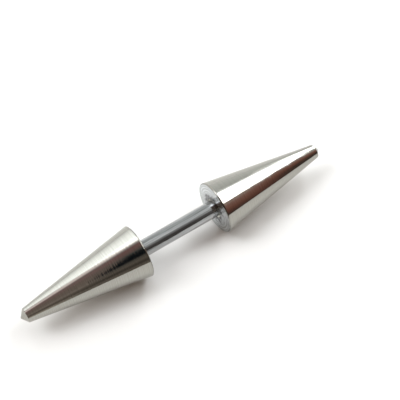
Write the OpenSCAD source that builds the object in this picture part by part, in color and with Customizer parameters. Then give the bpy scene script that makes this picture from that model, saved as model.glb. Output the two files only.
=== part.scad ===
// Faux taper earring: a short straight bar with a tapered spike screwed on each end.
// All sizes in mm. X runs along the bar, Z is up, and the piece lies on Z = 0 on the two
// base edges of its cones. The origin is on that surface, under the middle of the bar.

/* [Bar] */
// Diameter of the smooth bar, 16 gauge
post_d = 1.25; // [1.2:0.05:1.4]
// Length of bar that shows between the two cones
wear_length = 6.35; // [5:0.05:16]

/* [Cones] */
// Widest diameter of a cone, at its base edge
cone_base_d = 4.0; // [3.4:0.1:6]
// Length of a cone from its base face to the rim of its blunt tip
cone_length = 9.0; // [7:0.1:16]
// Diameter at the rim of the blunt tip
tip_d = 1.08; // [0.8:0.01:1.4]
// Height of the shallow point turned on the tip
point_length = 0.37; // [0.2:0.01:0.5]
// Width of the bevel that breaks the base edge
edge_bevel = 0.06; // [0.03:0.01:0.15]

/* [Screw joint] */
// Nominal diameter of the screw thread on each end of the bar
thread_d = 1.2; // [1.0:0.1:1.2]
// Pitch of that thread
thread_pitch = 0.25; // [0.2:0.05:0.25]
// Length of thread on each end, past the bar's shoulder
thread_length = 2.2; // [1.6:0.1:3]
// Radial gap between the thread's core and the hole it screws into
thread_gap = 0.03; // [0.02:0.01:0.08]
// Diameter of the countersink around the bar in each base face
countersink_d = 1.56; // [1.5:0.02:1.9]

/* [Hidden] */

round_sides = 96;

axis_height = cone_base_d / 2;
half_gap = wear_length / 2;

// The threads are drawn plain: the stud is its core, and the hole is as drilled for tapping
core_depth_per_pitch = 1.2269;
stud_r = (thread_d - core_depth_per_pitch * thread_pitch) / 2;
hole_r = stud_r + thread_gap;
countersink_r = countersink_d / 2;
countersink_depth = countersink_r - hole_r;

// The shoulder of the bar sits in the countersink, this far short of touching it
seat_gap = 0.035;
shoulder_depth = countersink_r - post_d / 2 - seat_gap;
shoulder_x = half_gap + shoulder_depth;
shoulder_bevel = 0.03;
stud_bevel = 0.12;
stud_end_x = shoulder_x + thread_length;

// The hole runs a little past the stud and ends in a drill point
hole_spare = 0.3;
hole_depth = shoulder_depth + thread_length + hole_spare;
drill_point = hole_r * tan(31);

// The turned point ends in a small flat, not a needle
point_flat_r = 0.04;

// The seam of each turned piece is kept this many degrees off its lowest line
post_seam_turn = 1;
left_seam_turn = 1;
right_seam_turn = 4;

// Turns an outline of [radius, distance along X] pairs about the bar's axis
module turned(outline, seam_turn) {
    translate([0, 0, axis_height])
        rotate([seam_turn, 0, 0])
            rotate([0, 90, 0])
                rotate_extrude($fn = round_sides)
                    polygon(outline);
}

// One cone, its base face at x = 0 and its point towards +X
module cone(seam_turn) {
    turned([
        [countersink_r, 0],
        [axis_height - edge_bevel, 0],
        [axis_height, edge_bevel],
        [tip_d / 2, cone_length],
        [point_flat_r, cone_length + point_length],
        [0, cone_length + point_length],
        [0, hole_depth + drill_point],
        [hole_r, hole_depth],
        [hole_r, countersink_depth]
    ], seam_turn);
}

// Outline of one half of the bar, from its middle to the end of the stud
function half_post() = [
    [post_d / 2, shoulder_x - shoulder_bevel],
    [post_d / 2 - shoulder_bevel, shoulder_x],
    [stud_r, shoulder_x],
    [stud_r, stud_end_x - stud_bevel],
    [stud_r - stud_bevel, stud_end_x],
    [0, stud_end_x]
];

module post() {
    right = half_post();
    left = [for (i = [len(right) - 1 : -1 : 0]) [right[i][0], -right[i][1]]];
    color([0.66, 0.68, 0.71])
        turned(concat(left, right), post_seam_turn);
}

module right_cone() {
    color([0.78, 0.78, 0.75])
        translate([half_gap, 0, 0])
            cone(right_seam_turn);
}

module left_cone() {
    color([0.78, 0.78, 0.75])
        mirror([1, 0, 0])
            translate([half_gap, 0, 0])
                cone(left_seam_turn);
}

post();
left_cone();
right_cone();
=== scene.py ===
import math

import bmesh
import bpy
from mathutils import Matrix, Vector


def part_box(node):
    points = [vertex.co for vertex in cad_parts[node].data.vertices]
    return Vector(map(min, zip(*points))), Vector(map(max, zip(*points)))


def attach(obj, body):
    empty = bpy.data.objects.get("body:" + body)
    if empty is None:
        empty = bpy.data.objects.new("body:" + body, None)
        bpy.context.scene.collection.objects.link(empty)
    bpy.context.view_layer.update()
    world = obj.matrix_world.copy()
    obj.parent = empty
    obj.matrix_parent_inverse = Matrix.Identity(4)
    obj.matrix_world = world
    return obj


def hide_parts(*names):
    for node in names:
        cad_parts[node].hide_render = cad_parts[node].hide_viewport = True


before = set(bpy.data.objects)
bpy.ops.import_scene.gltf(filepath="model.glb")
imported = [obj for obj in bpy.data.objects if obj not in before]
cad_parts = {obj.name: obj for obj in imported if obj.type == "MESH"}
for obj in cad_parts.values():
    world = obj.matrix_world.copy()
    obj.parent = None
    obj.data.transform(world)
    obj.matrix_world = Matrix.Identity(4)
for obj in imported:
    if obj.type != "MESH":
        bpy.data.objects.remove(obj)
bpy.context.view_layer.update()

MM = 0.001

# Post
# The real post is a short length of 16 gauge stainless wire, drawn and polished, so its marks
# run lengthwise. Each end is turned down at a small shoulder and threaded M1.2, and that
# threaded stud screws into a cone.

post_low, post_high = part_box("post")
axis_height = (post_low.z + post_high.z) / 2
post_radius = (post_high.z - post_low.z) / 2
stud_end = post_high.x
cone_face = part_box("right_cone")[0].x

shoulder_depth = 0.12 * MM
shoulder_bevel = 0.03 * MM
stud_bevel = 0.12 * MM
edge_softness = 0.01 * MM

thread_pitch = 0.25 * MM
core_radius = 0.4466 * MM
stud_thread = {
    "Thread Pitch": thread_pitch,
    "Thread Depth": 0.1534 * MM,
    "Crest Half Width": 0.0156 * MM,
    "Foot Half Width": 0.104 * MM,
}
stud_thread_start = 0.34 * MM
stud_thread_fade = 0.16 * MM

turned_sides = 192
arc_steps = 4
bar_row = 0.2 * MM
thread_row = thread_pitch / 16
guard_row = 0.01 * MM
merge_distance = 0.0001 * MM
sharp_angle = math.radians(35)

drawn_dark = (0.245, 0.248, 0.25)
drawn_bright = (0.505, 0.513, 0.516)
drawn_line_depth = 0.009 * MM
drawn_roughness = (0.07, 0.14)
fine_mark_share = 0.25


def rounded_corner(before, corner, after, rounding):
    """The points of an arc of this rounding, in a corner between the points before and after it."""
    backward = (before - corner).normalized()
    forward = (after - corner).normalized()
    half_angle = backward.angle(forward) / 2
    centre = corner + (backward + forward).normalized() * rounding / math.sin(half_angle)
    start = corner + backward * rounding / math.tan(half_angle) - centre
    end = corner + forward * rounding / math.tan(half_angle) - centre
    sweep = math.atan2(start.x * end.y - start.y * end.x, start.dot(end))
    return [centre + Matrix.Rotation(sweep * step / arc_steps, 2) @ start for step in range(arc_steps + 1)]


def turned_outline(corners):
    """Points of an outline given as (x, radius, rounding, row spacing up to the next corner). A
    row close beside each rounding keeps its soft shading off the straight part."""
    places = [Vector((x, radius)) for x, radius, _, _ in corners]
    arcs = []
    for i, (_, _, rounding, _) in enumerate(corners):
        if rounding:
            arcs.append(rounded_corner(places[i - 1], places[i], places[i + 1], rounding))
        else:
            arcs.append([places[i]])
    points = []
    for arc, following, (_, _, _, spacing) in zip(arcs, arcs[1:], corners):
        points += arc
        gap = following[0] - arc[-1]
        rows = max(1, round(gap.length / spacing)) if spacing else 1
        shares = [row / rows for row in range(1, rows)]
        if rows > 1 and len(arc) > 1:
            shares.insert(0, guard_row / gap.length)
        if rows > 1 and len(following) > 1:
            shares.append(1 - guard_row / gap.length)
        points += [arc[-1] + gap * share for share in shares]
    return points + arcs[-1]


def ramp_share(x, start, end, fade):
    """How fully a thread is cut at x: 0 outside start and end, rising to 1 over the fade at both."""
    return max(0, min(1, (x - start) / fade, (end - x) / fade))


def linked_node(tree, kind, inputs, **settings):
    """Adds a node with these settings and inputs, each input a value or another node's output,
    and gives its first output."""
    node = tree.nodes.new(kind)
    for key, value in settings.items():
        setattr(node, key, value)
    for name, source in inputs.items():
        if isinstance(source, bpy.types.NodeSocket):
            tree.links.new(source, node.inputs[name])
        else:
            node.inputs[name].default_value = source
    return node.outputs[0]


def math_node(tree, operation, *sources):
    """Calculates with values or other nodes' outputs, and gives the result."""
    return linked_node(tree, "ShaderNodeMath", dict(enumerate(sources)), operation=operation)


def turned_piece_tree():
    """Turns an outline, a line of points at (x, 0, radius), about the bar's axis, and cuts a
    right-handed thread where the outline's thread attribute is above 0."""
    tree = bpy.data.node_groups.new("turned piece", "GeometryNodeTree")
    sockets = tree.interface
    sockets.new_socket("Outline", in_out="INPUT", socket_type="NodeSocketGeometry")
    sockets.new_socket("Sides", in_out="INPUT", socket_type="NodeSocketInt")
    for name in ("Axis Height", "Thread Pitch", "Thread Depth", "Crest Half Width", "Foot Half Width"):
        sockets.new_socket(name, in_out="INPUT", socket_type="NodeSocketFloat")
    sockets.new_socket("Material", in_out="INPUT", socket_type="NodeSocketMaterial")
    sockets.new_socket("Piece", in_out="OUTPUT", socket_type="NodeSocketGeometry")
    given = tree.nodes.new("NodeGroupInput").outputs

    # A grid with a row for each point of the outline, and one more column than the piece has sides
    point_count = linked_node(tree, "GeometryNodeAttributeDomainSize", {"Geometry": given["Outline"]})
    columns = math_node(tree, "ADD", given["Sides"], 1)
    grid = linked_node(tree, "GeometryNodeMeshGrid", {"Vertices X": point_count, "Vertices Y": columns})
    index = linked_node(tree, "GeometryNodeInputIndex", {})
    row = math_node(tree, "FLOOR", math_node(tree, "DIVIDE", index, columns))
    column = math_node(tree, "SUBTRACT", index, math_node(tree, "MULTIPLY", row, columns))
    turn = math_node(tree, "DIVIDE", column, given["Sides"])

    place = linked_node(tree, "GeometryNodeInputPosition", {})
    outline_place = linked_node(tree, "GeometryNodeSampleIndex", {
        "Geometry": given["Outline"], "Value": place, "Index": row}, data_type="FLOAT_VECTOR")
    thread = linked_node(tree, "GeometryNodeInputNamedAttribute", {"Name": "thread"}, data_type="FLOAT")
    thread_share = linked_node(tree, "GeometryNodeSampleIndex", {
        "Geometry": given["Outline"], "Value": thread, "Index": row}, data_type="FLOAT")
    along, _, outline_radius = linked_node(
        tree, "ShaderNodeSeparateXYZ", {"Vector": outline_place}).node.outputs

    # The distance of each point from the middle of the nearest crest, along the axis
    phase = math_node(tree, "SUBTRACT", math_node(tree, "DIVIDE", along, given["Thread Pitch"]), turn)
    off_crest = math_node(tree, "ABSOLUTE",
                          math_node(tree, "SUBTRACT", phase, math_node(tree, "ROUND", phase)))
    distance = math_node(tree, "MULTIPLY", off_crest, given["Thread Pitch"])
    flank = math_node(tree, "DIVIDE",
                      math_node(tree, "SUBTRACT", given["Foot Half Width"], distance),
                      math_node(tree, "SUBTRACT", given["Foot Half Width"], given["Crest Half Width"]))
    height_share = math_node(tree, "MINIMUM", math_node(tree, "MAXIMUM", flank, 0), 1)
    rise = math_node(tree, "MULTIPLY",
                     math_node(tree, "MULTIPLY", height_share, thread_share), given["Thread Depth"])
    radius = math_node(tree, "ADD", outline_radius, rise)

    angle = math_node(tree, "MULTIPLY", turn, math.tau)
    turned_place = linked_node(tree, "ShaderNodeCombineXYZ", {
        "X": along,
        "Y": math_node(tree, "MULTIPLY", radius, math_node(tree, "COSINE", angle)),
        "Z": math_node(tree, "ADD", given["Axis Height"],
                       math_node(tree, "MULTIPLY", radius, math_node(tree, "SINE", angle))),
    })
    surface = linked_node(tree, "GeometryNodeSetPosition", {"Geometry": grid, "Position": turned_place})
    closed = linked_node(tree, "GeometryNodeMergeByDistance", {
        "Geometry": surface, "Distance": merge_distance})
    smooth = linked_node(tree, "GeometryNodeSetShadeSmooth", {"Geometry": closed, "Shade Smooth": True})
    realized = linked_node(tree, "GeometryNodeRealizeInstances", {"Geometry": smooth})
    finished = linked_node(tree, "GeometryNodeSetMaterial", {
        "Geometry": realized, "Material": given["Material"]})
    tree.links.new(finished, tree.nodes.new("NodeGroupOutput").inputs["Piece"])
    return tree


turned_piece = turned_piece_tree()


def turn_piece(name, outline, thread_shares, thread_sizes, material):
    """Makes a turned piece of the outline's (x, radius) points and each point's share of thread."""
    line = bpy.data.meshes.new(name + "_outline")
    edges = [(i, i + 1) for i in range(len(outline) - 1)]
    line.from_pydata([(point.x, 0, point.y) for point in outline], edges, [])
    line.attributes.new("thread", "FLOAT", "POINT").data.foreach_set("value", thread_shares)
    piece = bpy.data.objects.new(name, line)
    bpy.context.collection.objects.link(piece)
    modifier = piece.modifiers.new("turned", "NODES")
    modifier.node_group = turned_piece
    values = {"Sides": turned_sides, "Axis Height": axis_height, "Material": material, **thread_sizes}
    for item in turned_piece.interface.items_tree:
        if item.name in values:
            modifier[item.identifier] = values[item.name]
    evaluated = piece.evaluated_get(bpy.context.evaluated_depsgraph_get())
    mesh = bpy.data.meshes.new_from_object(evaluated)
    piece.modifiers.remove(modifier)
    piece.data = mesh
    mesh.name = name
    bpy.data.meshes.remove(line)
    # The faces of a shell all have to point outwards
    shell = bmesh.new()
    shell.from_mesh(mesh)
    bmesh.ops.recalc_face_normals(shell, faces=shell.faces)
    shell.to_mesh(mesh)
    shell.free()
    mesh.set_sharp_from_angle(angle=sharp_angle)
    return piece


def rescaled(tree, value, start, end, low=0.0, high=1.0, kind="LINEAR"):
    """Goes from low to high as the value goes from start to end, and no further."""
    return linked_node(tree, "ShaderNodeMapRange", {
        "Value": value, "From Min": start, "From Max": end, "To Min": low, "To Max": high},
        interpolation_type=kind)


def smooth_step(tree, value, start, end):
    """Goes from 0 to 1 as the value goes from start to end, with a soft start and end."""
    return rescaled(tree, value, start, end, kind="SMOOTHSTEP")


def axis_coordinates(tree):
    """The place along the bar from its middle and across it, and the distance from its axis, in mm."""
    place = linked_node(tree, "ShaderNodeTexCoord", {}).node.outputs["Object"]
    centred = linked_node(tree, "ShaderNodeVectorMath", {0: place, 1: (0, 0, axis_height)},
                          operation="SUBTRACT")
    in_mm = linked_node(tree, "ShaderNodeVectorMath", {0: centred, "Scale": 1 / MM}, operation="SCALE")
    x, y, z = linked_node(tree, "ShaderNodeSeparateXYZ", {"Vector": in_mm}).node.outputs
    radius = math_node(tree, "SQRT", math_node(
        tree, "ADD", math_node(tree, "MULTIPLY", y, y), math_node(tree, "MULTIPLY", z, z)))
    return x, y, z, radius


def drawing_lines_group():
    """Fine lines that run along the bar, as the drawing die leaves them."""
    tree = bpy.data.node_groups.new("drawing lines", "ShaderNodeTree")
    tree.interface.new_socket("Lines Around", in_out="INPUT", socket_type="NodeSocketFloat")
    tree.interface.new_socket("Stretch", in_out="INPUT", socket_type="NodeSocketFloat")
    tree.interface.new_socket("Height", in_out="OUTPUT", socket_type="NodeSocketFloat")
    given = tree.nodes.new("NodeGroupInput").outputs
    x, y, z, radius = axis_coordinates(tree)
    around = linked_node(tree, "ShaderNodeCombineXYZ", {
        "X": math_node(tree, "MULTIPLY", x, given["Stretch"]),
        "Y": math_node(tree, "DIVIDE", y, radius),
        "Z": math_node(tree, "DIVIDE", z, radius),
    })
    noise = linked_node(tree, "ShaderNodeTexNoise", {
        "Vector": around, "Scale": given["Lines Around"], "Detail": 3.0, "Roughness": 0.6})
    height = rescaled(tree, noise, 0.3, 0.7)
    tree.links.new(height, tree.nodes.new("NodeGroupOutput").inputs["Height"])
    return tree


def handling_marks_group():
    """Faint smudges from handling, which every piece of steel has."""
    tree = bpy.data.node_groups.new("handling marks", "ShaderNodeTree")
    tree.interface.new_socket("Smudge Size", in_out="INPUT", socket_type="NodeSocketFloat")
    tree.interface.new_socket("Smudge", in_out="OUTPUT", socket_type="NodeSocketFloat")
    given = tree.nodes.new("NodeGroupInput").outputs
    place = linked_node(tree, "ShaderNodeTexCoord", {}).node.outputs["Object"]
    in_mm = linked_node(tree, "ShaderNodeVectorMath", {0: place, "Scale": 1 / MM}, operation="SCALE")
    noise = linked_node(tree, "ShaderNodeTexNoise", {
        "Vector": in_mm, "Scale": math_node(tree, "DIVIDE", 1, given["Smudge Size"]),
        "Detail": 4.0, "Roughness": 0.65})
    smudge = smooth_step(tree, noise, 0.38, 0.66)
    tree.links.new(smudge, tree.nodes.new("NodeGroupOutput").inputs["Smudge"])
    return tree


drawing_lines = drawing_lines_group()
handling_marks = handling_marks_group()


def placed_group(tree, group, values):
    """Places a group in a material with its own values, and gives the group's first output."""
    node = tree.nodes.new("ShaderNodeGroup")
    node.node_tree = group
    for name, value in values.items():
        node.inputs[name].default_value = value
    return node.outputs[0]


def overlaid(tree, factor, under, over):
    """One colour over another, each a value or another node's output."""
    mix = tree.nodes.new("ShaderNodeMix")
    mix.data_type = "RGBA"
    tree.links.new(factor, mix.inputs["Factor"])
    for name, source in (("A", under), ("B", over)):
        if isinstance(source, bpy.types.NodeSocket):
            tree.links.new(source, mix.inputs[name])
        else:
            mix.inputs[name].default_value = (*source, 1)
    return mix.outputs["Result"]


def bare_steel(name):
    """A plain metal material, with its tree and shader to build on."""
    material = bpy.data.materials.new(name)
    material.use_nodes = True
    shader = material.node_tree.nodes["Principled BSDF"]
    shader.inputs["Metallic"].default_value = 1.0
    return material, material.node_tree, shader


def finish_steel(tree, shader, colour, roughness, height, depth):
    """Gives the steel its colour, its roughness and marks of this height and depth."""
    tree.links.new(colour, shader.inputs["Base Color"])
    tree.links.new(roughness, shader.inputs["Roughness"])
    marks = linked_node(tree, "ShaderNodeBump", {"Height": height, "Distance": depth, "Strength": 1.0})
    tree.links.new(marks, shader.inputs["Normal"])


def drawn_steel():
    """Lines along the wire, broad and fine, and a polish that smudges dull a little."""
    material, tree, shader = bare_steel("drawn_steel")
    broad = placed_group(tree, drawing_lines, {"Lines Around": 2.4, "Stretch": 0.02})
    fine = placed_group(tree, drawing_lines, {"Lines Around": 6.0, "Stretch": 0.05})
    smudge = placed_group(tree, handling_marks, {"Smudge Size": 1.1})
    colour = overlaid(tree, fine, drawn_dark, drawn_bright)
    roughness = rescaled(tree, smudge, 0, 1, *drawn_roughness)
    height = math_node(tree, "ADD", broad, math_node(tree, "MULTIPLY", fine, fine_mark_share))
    finish_steel(tree, shader, colour, roughness, height, drawn_line_depth)
    return material


shoulder = cone_face + shoulder_depth
post_half = turned_outline([
    (0, post_radius, 0, bar_row),
    (shoulder - shoulder_bevel, post_radius, edge_softness, 0),
    (shoulder, post_radius - shoulder_bevel, edge_softness, 0),
    (shoulder, core_radius, edge_softness, thread_row),
    (stud_end - stud_bevel, core_radius, 0, 0),
    (stud_end, core_radius - stud_bevel, edge_softness, 0),
    (stud_end, 0, 0, 0),
])
post_outline = [Vector((-point.x, point.y)) for point in reversed(post_half[1:])] + post_half
post_shares = [
    ramp_share(abs(point.x), cone_face + stud_thread_start, stud_end - stud_bevel, stud_thread_fade)
    for point in post_outline]
post_bar = turn_piece("post_bar", post_outline, post_shares, stud_thread, drawn_steel())
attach(post_bar, "post")
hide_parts("post")

# Cones
# Each real cone is turned from stainless bar on a lathe: faced and countersunk at its wide end,
# drilled and tapped M1.2 for the post's stud, and left with fine rings from the tool on its
# flank. The tip is cut blunt, with a shallow point.

cone_low, cone_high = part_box("right_cone")
base_radius = (cone_high.z - cone_low.z) / 2
point_end = cone_high.x
point_length = 0.37 * MM
point_flat = 0.04 * MM
point_rounding = 0.008 * MM
tip_radius = 0.54 * MM
tip_rounding = 0.02 * MM
edge_bevel = 0.06 * MM
edge_rounding = 0.085 * MM
countersink_radius = 0.78 * MM
hole_radius = 0.4766 * MM
hole_depth = 2.62 * MM
drill_point_angle = math.radians(31)

hole_thread = {
    "Thread Pitch": thread_pitch,
    "Thread Depth": 0.1434 * MM,
    "Crest Half Width": 0.012 * MM,
    "Foot Half Width": 0.095 * MM,
}
hole_thread_end = 2.5 * MM
hole_thread_fade = 0.06 * MM

flank_row = 0.25 * MM
point_row = 0.06 * MM
countersink_row = 0.05 * MM
drill_point_row = 0.1 * MM

flank_dark = (0.33, 0.324, 0.294)
flank_bright = (0.43, 0.422, 0.384)
face_dark = (0.36, 0.37, 0.375)
face_bright = (0.66, 0.69, 0.70)
# Colour of the painted shade and reflection round the countersink
countersink_shade_colour = (0.055, 0.053, 0.057)
# Colour of the painted dark reflection along the base edge
rim_reflection_colour = (0.1, 0.1, 0.095)

flank_ring_depth = 0.0005 * MM
face_ring_depth = 32 * flank_ring_depth
turned_roughness = (0.03, 0.1)
facing_roughness = 0.09
facing_end = 0.004 * MM
facing_fade_end = 0.012 * MM
# Where the painted shade round the countersink fades in and out, and how uneven its edge is
countersink_shade_inner = 1.0 * MM
countersink_shade_outer = 1.5 * MM
countersink_shade_unevenness = 0.55 * MM
# The band along the base edge that carries the painted dark reflection
rim_reflection_inner = 1.2 * edge_bevel
rim_reflection_outer = 2 * edge_bevel


def turning_rings_group():
    """Rings that a lathe tool leaves, which follow the outline from the hole round to the tip."""
    tree = bpy.data.node_groups.new("turning rings", "ShaderNodeTree")
    tree.interface.new_socket("Ring Width", in_out="INPUT", socket_type="NodeSocketFloat")
    tree.interface.new_socket("Height", in_out="OUTPUT", socket_type="NodeSocketFloat")
    given = tree.nodes.new("NodeGroupInput").outputs
    x, _, _, radius = axis_coordinates(tree)
    along_outline = math_node(tree, "SUBTRACT", math_node(tree, "ABSOLUTE", x), radius)
    noise = linked_node(tree, "ShaderNodeTexNoise", {
        "W": math_node(tree, "DIVIDE", along_outline, given["Ring Width"]),
        "Scale": 1.0, "Detail": 1.0, "Roughness": 0.5}, noise_dimensions="1D")
    height = rescaled(tree, noise, 0.25, 0.75)
    tree.links.new(height, tree.nodes.new("NodeGroupOutput").inputs["Height"])
    return tree


turning_rings = turning_rings_group()


def turned_steel():
    """Fine rings all over, and coarser, brighter ones on the faced wide end."""
    material, tree, shader = bare_steel("turned_steel")
    coarse = placed_group(tree, turning_rings, {"Ring Width": 0.15})
    fine = placed_group(tree, turning_rings, {"Ring Width": 0.06})
    facing = placed_group(tree, turning_rings, {"Ring Width": 0.11})
    smudge = placed_group(tree, handling_marks, {"Smudge Size": 1.6})
    blotch = placed_group(tree, handling_marks, {"Smudge Size": 0.45})
    x, _, _, radius = axis_coordinates(tree)
    from_middle = math_node(tree, "ABSOLUTE", x)
    faced = rescaled(tree, from_middle, (cone_face + facing_fade_end) / MM, (cone_face + facing_end) / MM)
    flank_colour = overlaid(tree, fine, flank_dark, flank_bright)
    unshaded_face_colour = overlaid(tree, facing, face_dark, face_bright)

    # Painted shade and reflection: the face is darkened round the countersink, with an uneven edge, standing
    # in for the post's dark reflection and the shade in the hole
    uneven_radius = math_node(
        tree, "ADD", radius, math_node(tree, "MULTIPLY", blotch, countersink_shade_unevenness / MM))
    countersink_shade = smooth_step(tree, uneven_radius, countersink_shade_outer / MM, countersink_shade_inner / MM)
    face_colour = overlaid(tree, countersink_shade, unshaded_face_colour, countersink_shade_colour)
    bare_colour = overlaid(tree, faced, flank_colour, face_colour)

    # A painted dark reflection runs along the broken edge of the base, broken up where the handling smudges
    # are
    off_edge = math_node(tree, "SUBTRACT", math_node(tree, "SUBTRACT", from_middle, radius),
                         (cone_face - base_radius) / MM)
    broken_edge = rescaled(tree, off_edge, rim_reflection_outer / MM, rim_reflection_inner / MM)
    rim_reflection = math_node(tree, "MULTIPLY", broken_edge, math_node(tree, "SUBTRACT", 1, smudge))
    colour = overlaid(tree, rim_reflection, bare_colour, rim_reflection_colour)

    polish = rescaled(tree, smudge, 0, 1, *turned_roughness)
    roughness = math_node(tree, "ADD", polish, math_node(tree, "MULTIPLY", faced, facing_roughness))
    flank_height = math_node(tree, "ADD", coarse, math_node(tree, "MULTIPLY", fine, fine_mark_share))
    face_rings = math_node(tree, "MULTIPLY", facing, faced)
    face_height = math_node(tree, "MULTIPLY", face_rings, face_ring_depth / flank_ring_depth)
    height = math_node(tree, "ADD", flank_height, face_height)
    finish_steel(tree, shader, colour, roughness, height, flank_ring_depth)
    return material


cone_steel = turned_steel()
countersink_bottom = cone_face + countersink_radius - hole_radius
cone_outline = turned_outline([
    (point_end, 0, 0, 0),
    (point_end, point_flat, point_rounding, point_row),
    (point_end - point_length, tip_radius, tip_rounding, flank_row),
    (cone_face + edge_bevel, base_radius, edge_rounding, 0),
    (cone_face, base_radius - edge_bevel, edge_rounding, flank_row),
    (cone_face, countersink_radius, edge_softness, countersink_row),
    (countersink_bottom, hole_radius, 0, thread_row),
    (cone_face + hole_depth, hole_radius, 0, drill_point_row),
    (cone_face + hole_depth + hole_radius * math.tan(drill_point_angle), 0, 0, 0),
])
cone_shares = [
    ramp_share(point.x, countersink_bottom, cone_face + hole_thread_end, hole_thread_fade)
    if point.y < hole_radius + edge_softness else 0 for point in cone_outline]
for side, way in (("left", -1), ("right", 1)):
    outline = [Vector((way * point.x, point.y)) for point in cone_outline]
    spike = turn_piece(side + "_spike", outline, cone_shares, hole_thread, cone_steel)
    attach(spike, side + "_cone")
    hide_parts(side + "_cone")

# Surface
# The earring lies on a plain white surface, smooth but not glossy. It is so wide that its own
# edges don't show.

surface_half_width = 2.0
surface_colour = (0.88, 0.875, 0.86)

surface_corners = [(x * surface_half_width, y * surface_half_width, 0)
                   for x, y in ((-1, -1), (1, -1), (1, 1), (-1, 1))]
surface_mesh = bpy.data.meshes.new("surface")
surface_mesh.from_pydata(surface_corners, [], [(0, 1, 2, 3)])
surface_material = bpy.data.materials.new("white_surface")
surface_material.use_nodes = True
surface_shader = surface_material.node_tree.nodes["Principled BSDF"]
surface_shader.inputs["Base Color"].default_value = (*surface_colour, 1)
surface_shader.inputs["Roughness"].default_value = 0.5
surface_shader.inputs["Specular IOR Level"].default_value = 0.25
surface_mesh.materials.append(surface_material)
surface = bpy.data.objects.new("surface", surface_mesh)
bpy.context.collection.objects.link(surface)

# Softboxes
# Three soft lights stand above the far side of the earring: a key light, a light to its right
# and a fill light to its left. Each dims towards its bottom and top, so that its reflection in
# the steel has soft ends.

softbox_distance = 4.0
softbox_tint = (0.93, 0.97, 1.0)
no_lean = (0, 1, 0, 0)


def softbox(name, toward, width, height, up, radiance, fades, glows, leans):
    """A soft light in the direction toward. Its width and height are shares of its distance. The
    pairs are for its bottom and its top: the shares of its height over which it lights up, the
    glow it lights up from, and a lean (across from, across to, shift from, shift to) that runs
    the fade askew."""
    toward = Vector(toward).normalized()
    light = bpy.data.lights.new(name, "AREA")
    light.shape = "RECTANGLE"
    light.size = width * softbox_distance
    light.size_y = height * softbox_distance
    light.energy = radiance * math.pi * light.size * light.size_y
    light.color = softbox_tint
    light.use_nodes = True
    tree = light.node_tree
    spot = linked_node(tree, "ShaderNodeNewGeometry", {}).node.outputs["Parametric"]
    across_share, up_share, _ = linked_node(tree, "ShaderNodeSeparateXYZ", {"Vector": spot}).node.outputs
    shades = []
    for fade, glow, lean, kind in zip(fades, glows, leans, ("LINEAR", "SMOOTHSTEP")):
        leaning_share = math_node(tree, "ADD", up_share, rescaled(tree, across_share, *lean))
        lit = rescaled(tree, leaning_share, *fade, kind=kind)
        shades.append(overlaid(tree, lit, glow, (1, 1, 1)))
    faded = linked_node(tree, "ShaderNodeVectorMath", {0: shades[0], 1: shades[1]}, operation="MULTIPLY")
    tree.links.new(faded, tree.nodes["Emission"].inputs["Color"])
    lamp = bpy.data.objects.new(name, light)
    bpy.context.collection.objects.link(lamp)
    across = Vector(up).cross(toward).normalized()
    lamp.matrix_world = (Matrix.Translation(toward * softbox_distance)
                         @ Matrix((across, toward.cross(across), toward)).transposed().to_4x4())
    lamp.visible_camera = False


softbox("key_softbox", toward=(-0.12, 0.74, 0.67), width=0.5, height=1.45, up=(0, -1, 1), radiance=2.9,
        fades=((0, 0.9), (0.92, 0.66)),
        glows=((0.04, 0.04, 0.04), (0.17, 0.1, 0.1)),
        leans=(no_lean, (0, 1, -1.0, 1.0)))
softbox("side_softbox", toward=(0.64, 0.22, 0.74), width=0.48, height=1.5, up=(0, -1, 0), radiance=8.2,
        fades=((0.33, 0.42), (1.0, 0.97)),
        glows=((0, 0, 0), (0, 0, 0)),
        leans=((0, 1, 0.3, -0.3), (0.46, 0.49, 0.5, 0)))
softbox("fill_softbox", toward=(-0.54, 0.36, 0.78), width=0.4, height=0.6, up=(0, -1, 1), radiance=8.0,
        fades=((0, 0.3), (1.0, 0.7)),
        glows=((0.3, 0.3, 0.3), (0.3, 0.3, 0.3)),
        leans=(no_lean, no_lean))

# Room
# The room has pale walls, a dim part behind the camera and wooden furniture on both sides. The
# polished steel reflects the dim part as its dark bands, and each cone and the post catch a
# stretch of their own. Seen past the surface, the room is plain white.

room_brightness = 1.1

# The middle of the dim part, and how far towards it a direction points where the dim part's
# edge and the slant of its wedge start and end
dim_side = Vector((-0.566, -0.791, -0.239)).normalized()
dim_ramp_start = -0.2
dim_edge = (-0.35, -0.12)
wedge_slant = (0.2, 0.38)
wedge_width = 0.02

# The x of a direction where each stretch, each end and the furniture come in
right_stretch = (0.35, 0.5)
black_stretch = (0.15, 0.0)
left_stretch = (-0.107, -0.132)
right_end = (0.615, 0.66)
right_end_reach = 0.27
left_end = (-0.05, 0.15)
left_end_reach = 0.07
furniture_middle = 0.2
furniture_start = (0.46, 0.62)

room = bpy.data.worlds.new("room")
room.use_nodes = True
bpy.context.scene.world = room
room_tree = room.node_tree
room_tree.nodes.clear()


def colour_ramp(tree, value, low, high, stops):
    """A ramp of (value, colour) stops over the range low to high."""
    ramp = tree.nodes.new("ShaderNodeValToRGB")
    tree.links.new(rescaled(tree, value, low, high), ramp.inputs["Fac"])
    elements = ramp.color_ramp.elements
    while len(elements) < len(stops):
        elements.new(1.0)
    for element, (place, colour) in zip(elements, stops):
        element.position = (place - low) / (high - low)
        element.color = (*colour, 1)
    return ramp.outputs["Color"]


looking = linked_node(room_tree, "ShaderNodeTexCoord", {}).node.outputs["Generated"]
look_x, _, look_z = linked_node(room_tree, "ShaderNodeSeparateXYZ", {"Vector": looking}).node.outputs
into_dim = linked_node(room_tree, "ShaderNodeVectorMath", {0: looking, 1: dim_side},
                       operation="DOT_PRODUCT").node.outputs["Value"]

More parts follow.
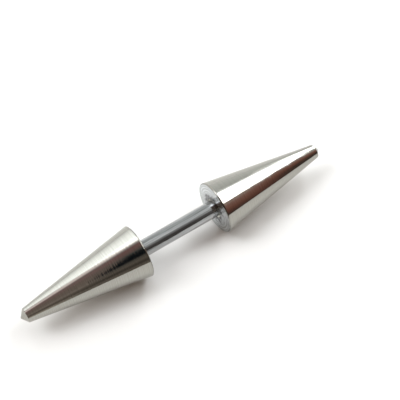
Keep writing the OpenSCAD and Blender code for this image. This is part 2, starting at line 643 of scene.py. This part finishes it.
pale_walls = colour_ramp(room_tree, look_z, 0, 1, [
    (0.0, (1.04, 1.06, 1.04)),
    (0.2, (0.96, 0.98, 0.97)),
    (0.47, (0.86, 0.88, 0.87)),
    (0.67, (0.72, 0.74, 0.73)),
    (0.77, (0.52, 0.55, 0.54)),
    (0.82, (0.52, 0.55, 0.54)),
    (0.88, (0.70, 0.72, 0.72)),
    (0.96, (0.84, 0.86, 0.85)),
])

# The dim part reaches further round at its right and left ends
right_reach = rescaled(room_tree, look_x, *right_end, low=0.0, high=right_end_reach)
left_reach = rescaled(room_tree, look_x, *left_end, low=left_end_reach, high=0.0)
dim_right = colour_ramp(room_tree, math_node(room_tree, "ADD", into_dim, right_reach), dim_ramp_start, 1, [
    (-0.12, (0.50, 0.38, 0.34)),
    (-0.02, (0.36, 0.20, 0.17)),
    (0.14, (0.27, 0.12, 0.09)),
    (0.24, (0.17, 0.075, 0.058)),
    (0.31, (0.08, 0.055, 0.045)),
    (0.5, (0.10, 0.085, 0.065)),
    (0.62, (0.15, 0.135, 0.11)),
])
dim_post = colour_ramp(room_tree, into_dim, dim_ramp_start, 1, [
    (-0.15, (0.61, 0.61, 0.60)),
    (0.0, (0.36, 0.35, 0.34)),
    (0.15, (0.19, 0.18, 0.175)),
    (0.29, (0.12, 0.11, 0.105)),
    (0.45, (0.08, 0.072, 0.067)),
    (0.6, (0.12, 0.11, 0.10)),
])
dim_black = colour_ramp(room_tree, into_dim, dim_ramp_start, 1, [
    (-0.12, (0.27, 0.155, 0.15)),
    (0.05, (0.18, 0.13, 0.12)),
    (0.13, (0.06, 0.075, 0.078)),
    (0.2, (0.01, 0.015, 0.018)),
    (0.44, (0.006, 0.009, 0.012)),
    (0.52, (0.11, 0.10, 0.09)),
    (0.63, (0.17, 0.145, 0.125)),
    (0.73, (0.07, 0.058, 0.048)),
    (0.82, (0.22, 0.19, 0.165)),
])
dim_left = colour_ramp(room_tree, into_dim, dim_ramp_start, 1, [
    (-0.12, (0.31, 0.21, 0.205)),
    (0.08, (0.25, 0.19, 0.17)),
    (0.35, (0.25, 0.205, 0.18)),
    (0.54, (0.32, 0.265, 0.235)),
    (0.66, (0.16, 0.13, 0.112)),
    (0.74, (0.15, 0.125, 0.105)),
    (0.79, (0.31, 0.27, 0.235)),
    (0.86, (0.62, 0.56, 0.50)),
])

# The black stretch ends in a wedge on its left
wedge = rescaled(room_tree, into_dim, *wedge_slant, low=0.0, high=wedge_width)
to_right = smooth_step(room_tree, look_x, *right_stretch)
to_black = smooth_step(room_tree, look_x, *black_stretch)
to_left = smooth_step(room_tree, math_node(room_tree, "ADD", look_x, wedge), *left_stretch)
dim_part = overlaid(room_tree, to_right, dim_post, dim_right)
dim_part = overlaid(room_tree, to_black, dim_part, dim_black)
dim_part = overlaid(room_tree, to_left, dim_part, dim_left)

# Wooden furniture stands on both sides, in the dim part and against the pale walls
off_middle = math_node(
    room_tree, "ABSOLUTE", math_node(room_tree, "SUBTRACT", look_x, furniture_middle))
aside = smooth_step(room_tree, off_middle, *furniture_start)
furniture = smooth_step(room_tree, linked_node(room_tree, "ShaderNodeTexNoise", {
    "Vector": looking, "Scale": 2.2, "Detail": 1.0, "Roughness": 0.5}), 0.38, 0.62)
dim_furniture = overlaid(room_tree, furniture, (0.09, 0.07, 0.055), (0.29, 0.21, 0.14))
pale_furniture = overlaid(room_tree, furniture, (0.6, 0.54, 0.45), (0.84, 0.76, 0.63))
dim_part = overlaid(room_tree, aside, dim_part, dim_furniture)
pale_part = overlaid(room_tree, aside, pale_walls, pale_furniture)

reaching = math_node(room_tree, "ADD", into_dim, math_node(room_tree, "ADD", left_reach, right_reach))
whole_room = overlaid(room_tree, smooth_step(room_tree, reaching, *dim_edge), pale_part, dim_part)
reflected = linked_node(room_tree, "ShaderNodeBackground", {"Color": whole_room, "Strength": room_brightness})
plain = linked_node(room_tree, "ShaderNodeBackground", {"Color": (1, 1, 1, 1)})
seen = linked_node(room_tree, "ShaderNodeLightPath", {}).node.outputs["Is Camera Ray"]
shown = linked_node(room_tree, "ShaderNodeMixShader", {0: seen, 1: reflected, 2: plain})
room_tree.links.new(shown, room_tree.nodes.new("ShaderNodeOutputWorld").inputs["Surface"])

# Camera
# The camera stands where the photograph was taken from, with a long lens. Its place and aim are
# fitted on the cones' base edges and tips, and its colours are left as they come.

camera_place = Vector((-19.127, -31.413, 62.734)) * MM
camera_aim = Vector((0.3021, 0.4504, -0.8401))

camera_data = bpy.data.cameras.new("camera")
camera_data.lens = 90
camera_data.sensor_width = 36
camera_data.clip_start = 0.001
camera = bpy.data.objects.new("camera", camera_data)
bpy.context.collection.objects.link(camera)
camera.location = camera_place
camera.rotation_euler = camera_aim.to_track_quat("-Z", "Y").to_euler()
bpy.context.scene.camera = camera
bpy.context.scene.view_settings.view_transform = "Standard"
